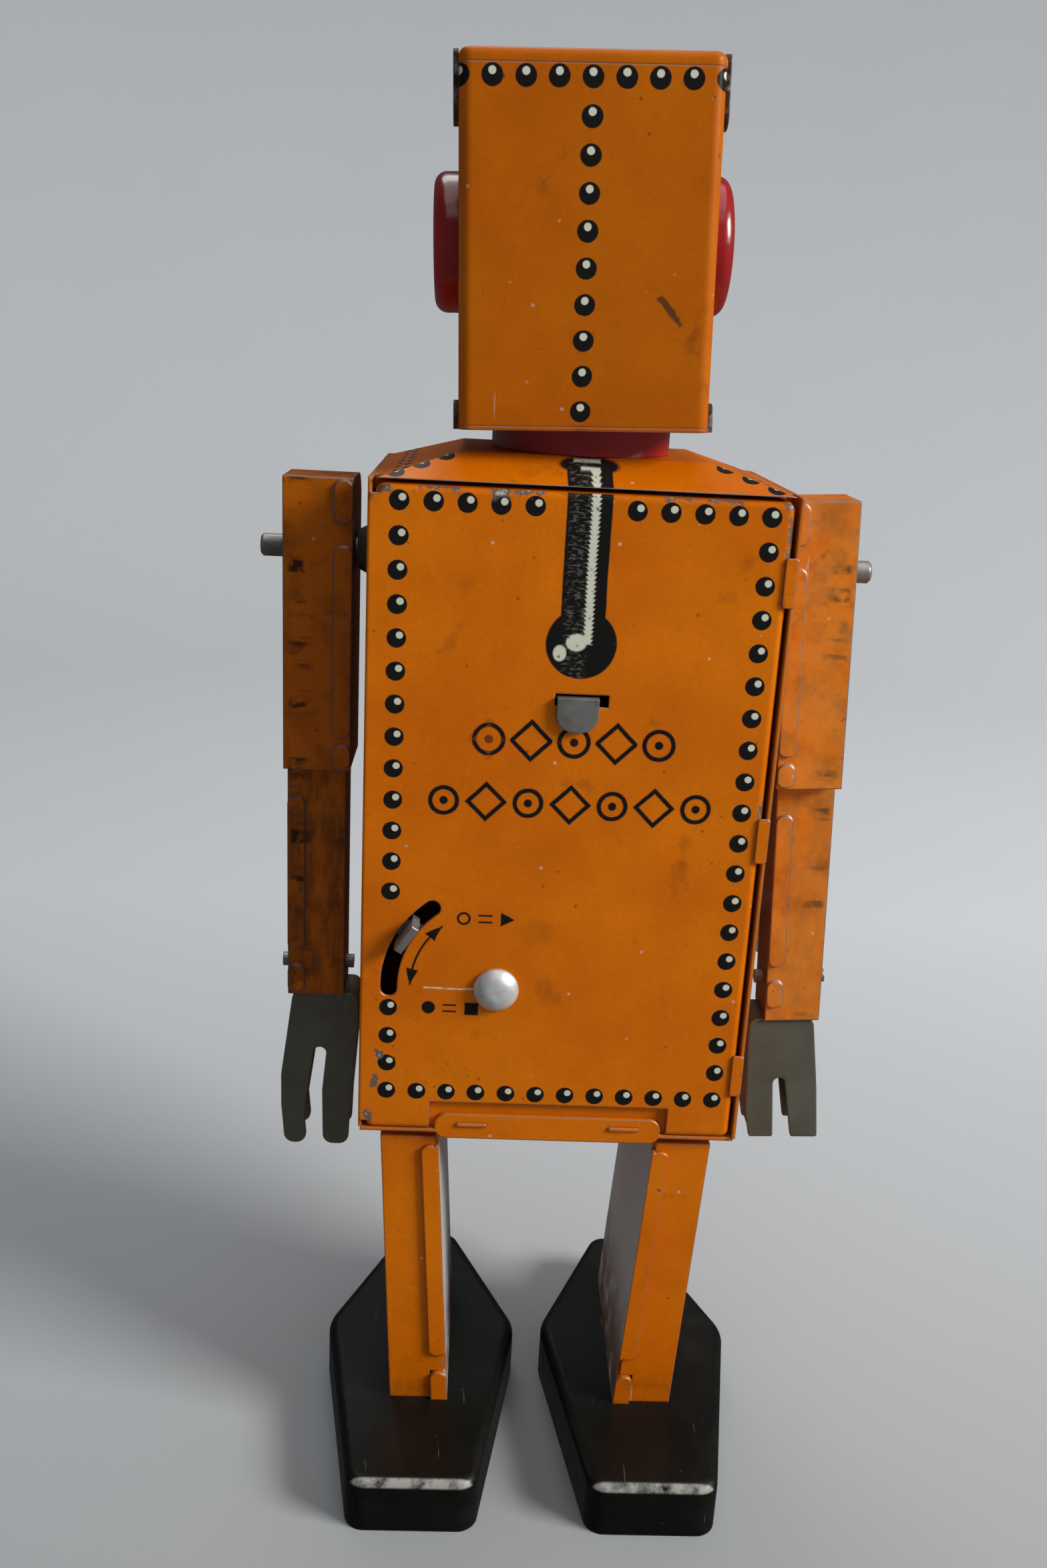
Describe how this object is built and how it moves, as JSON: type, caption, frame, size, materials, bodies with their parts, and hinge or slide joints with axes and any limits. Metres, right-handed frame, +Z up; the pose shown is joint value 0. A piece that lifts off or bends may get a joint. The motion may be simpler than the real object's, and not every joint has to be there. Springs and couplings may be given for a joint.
{
  "type": "tin wind-up robot",
  "caption": "Tin wind-up robot with a box head, hip-roof shoulders, swinging box arms, folded claw hands, walking legs and a stop lever on its back.",
  "frame": {"origin": "on the floor, under the middle of the feet", "axes": "+Z up, the robot faces -Y, +X is its left side"},
  "size_m": [0.067, 0.0464, 0.1561],
  "materials": {
    "orange_paint": "gloss lacquer over printed tinplate, worn at the edges",
    "red_paint": "gloss lacquer",
    "black_paint": "gloss",
    "dark_paint": "satin",
    "bare_steel": "tarnished",
    "spring_steel": "blued",
    "brass": "satin",
    "rivet_metal": "worn"
  },
  "bodies": {
    "robot_body": {"body_shell": "orange_paint", "back_panel": "orange_paint", "closing_tabs": "bare_steel", "base_plate": "orange_paint", "shoulder_cap": "orange_paint", "neck": "red_paint", "head_shell": "orange_paint", "head_top": "orange_paint", "head_base": "orange_paint", "ear_left": "red_paint", "ear_right": "red_paint", "shoulder_rod": "bare_steel", "shoulder_collars": "dark_paint", "hip_rod": "bare_steel", "motor_plate_left": "bare_steel", "motor_plate_right": "bare_steel", "motor_pillars": "bare_steel", "motor_strap": "bare_steel", "mainspring": "spring_steel", "lever_rivet": "rivet_metal"},
    "winding": {"winding_arbor": "bare_steel", "winding_key": "bare_steel", "great_wheel": "brass", "ratchet_wheel": "bare_steel", "click": "bare_steel"},
    "crank": {"crank_shaft": "bare_steel", "crank_pinion": "bare_steel", "crank_wheel": "brass", "crank_disc_left": "bare_steel", "crank_disc_right": "bare_steel"},
    "governor": {"governor_arbor": "bare_steel", "governor_pinion": "bare_steel", "star_wheel": "brass"},
    "verge_body": {"verge": "bare_steel"},
    "lever": {"stop_lever": "bare_steel"},
    "arm_left": {"upper_arm_left": "orange_paint", "upper_arm_cover_left": "orange_paint", "forearm_left": "orange_paint", "forearm_cover_left": "orange_paint", "wrist_pin_left": "bare_steel", "hand_left": "dark_paint"},
    "walking_leg_left": {"leg_left": "orange_paint", "leg_cover_left": "orange_paint", "foot_left": "black_paint", "sole_left": "black_paint"},
    "arm_right": {"upper_arm_right": "orange_paint", "upper_arm_cover_right": "orange_paint", "forearm_right": "orange_paint", "forearm_cover_right": "orange_paint", "wrist_pin_right": "bare_steel", "hand_right": "dark_paint"},
    "walking_leg_right": {"leg_right": "orange_paint", "leg_cover_right": "orange_paint", "foot_right": "black_paint", "sole_right": "black_paint"}
  },
  "joints": [
    {"name": "key_turn", "type": "hinge", "parent": "robot_body", "child": "winding", "pos_m": [0, -0.011, 0.064], "axis": [1, 0, 0], "continuous": true},
    {"name": "crank_turn", "type": "hinge", "parent": "robot_body", "child": "crank", "pos_m": [0, -0.002, 0.064], "axis": [1, 0, 0], "continuous": true},
    {"name": "governor_turn", "type": "hinge", "parent": "robot_body", "child": "governor", "pos_m": [0, -0.002, 0.0724], "axis": [1, 0, 0], "continuous": true},
    {"name": "verge_rock", "type": "hinge", "parent": "robot_body", "child": "verge_body", "pos_m": [0, -0.002, 0.08], "axis": [1, 0, 0], "range_deg": [-5, 5]},
    {"name": "stop_lever_turn", "type": "hinge", "parent": "robot_body", "child": "lever", "pos_m": [0.0066, 0.0102, 0.0627], "axis": [0, 1, 0], "range_deg": [-9, 25]},
    {"name": "leg_left_swing", "type": "hinge", "parent": "robot_body", "child": "walking_leg_left", "pos_m": [0.0156, -0.002, 0.052], "axis": [1, 0, 0], "range_deg": [-4.5, 4.5]},
    {"name": "leg_right_swing", "type": "hinge", "parent": "robot_body", "child": "walking_leg_right", "pos_m": [-0.0156, -0.002, 0.052], "axis": [1, 0, 0], "range_deg": [-4.5, 4.5]},
    {"name": "arm_left_swing", "type": "hinge", "parent": "robot_body", "child": "arm_left", "pos_m": [0.027, -0.001, 0.1081], "axis": [1, 0, 0], "continuous": true},
    {"name": "arm_right_swing", "type": "hinge", "parent": "robot_body", "child": "arm_right", "pos_m": [-0.0257, -0.001, 0.1081], "axis": [1, 0, 0], "range_deg": [0, 330]}
  ],
  "couplings": [
    {"joint": "crank_turn", "follows": "key_turn", "ratio": -2},
    {"joint": "governor_turn", "follows": "key_turn", "ratio": 5},
    {"joint": "leg_right_swing", "follows": "leg_left_swing", "ratio": -1}
  ]
}
